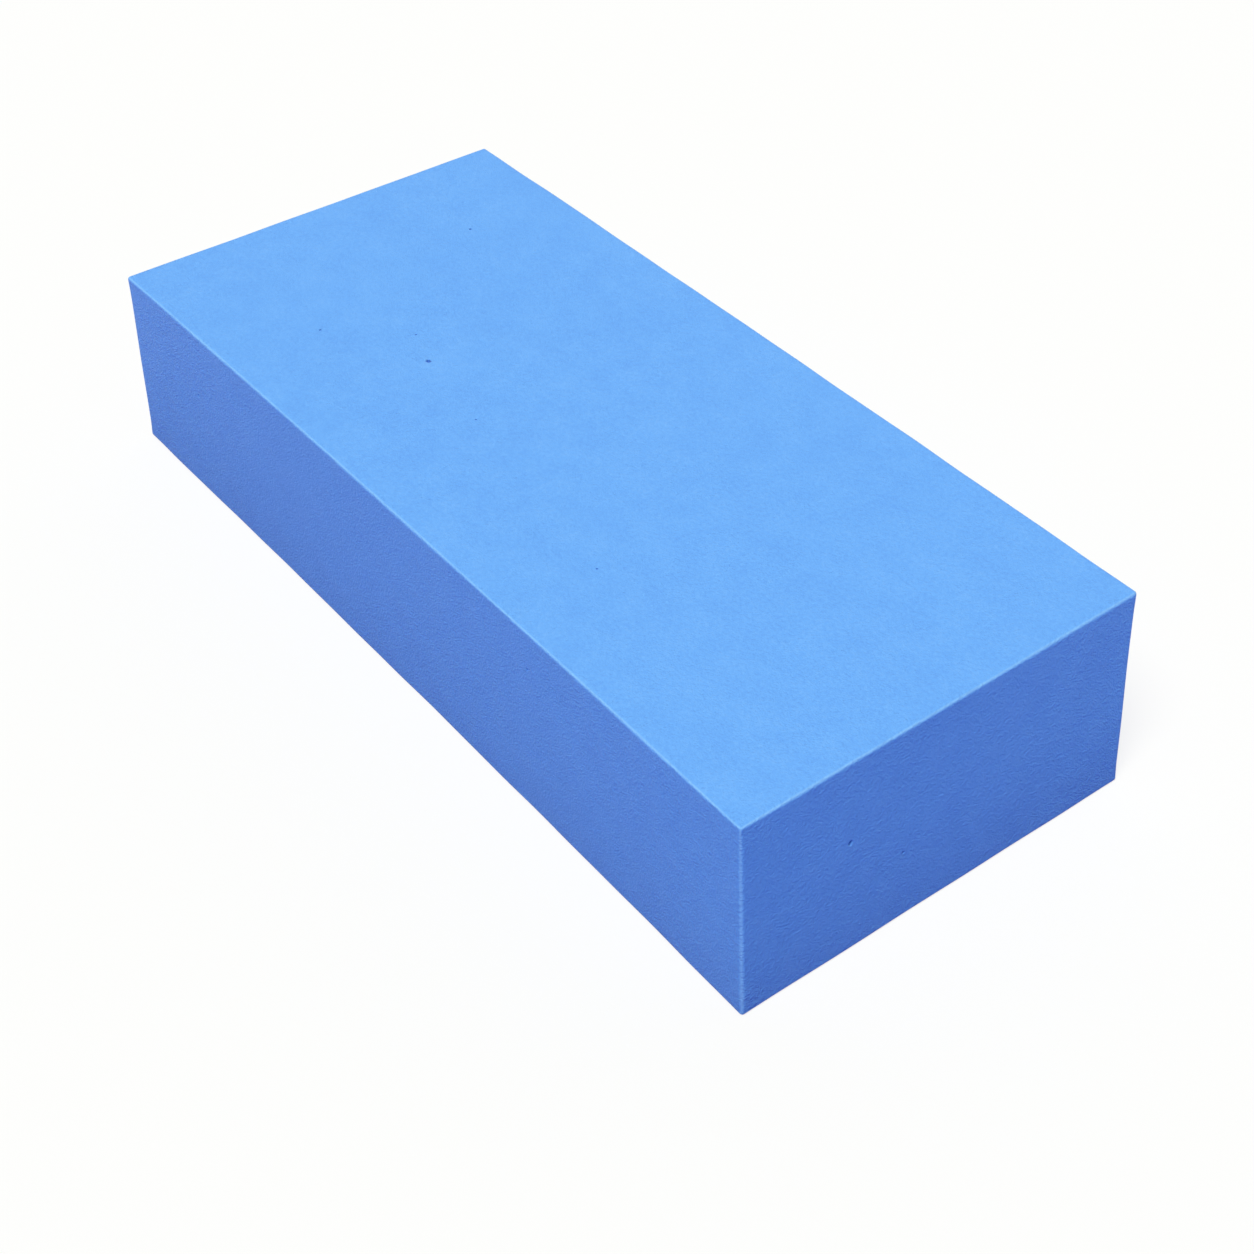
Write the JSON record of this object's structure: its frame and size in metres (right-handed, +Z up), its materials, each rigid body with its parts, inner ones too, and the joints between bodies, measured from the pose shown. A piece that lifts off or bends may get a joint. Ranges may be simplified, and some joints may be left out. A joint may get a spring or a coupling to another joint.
{
  "type": "car wash sponge",
  "caption": "Rectangular block of blue fine-celled foam with softened edges, held in one hand to wash a car or wipe it down.",
  "frame": {"origin": "middle of the underside, the large face that the sponge rests on", "axes": "+X along the length, +Y across the width, +Z up through the thickness"},
  "size_m": [0.2, 0.088, 0.042],
  "materials": {
    "foam": "matte, fine open cells"
  },
  "bodies": {
    "root": {"foam_block": "foam"}
  },
  "joints": []
}
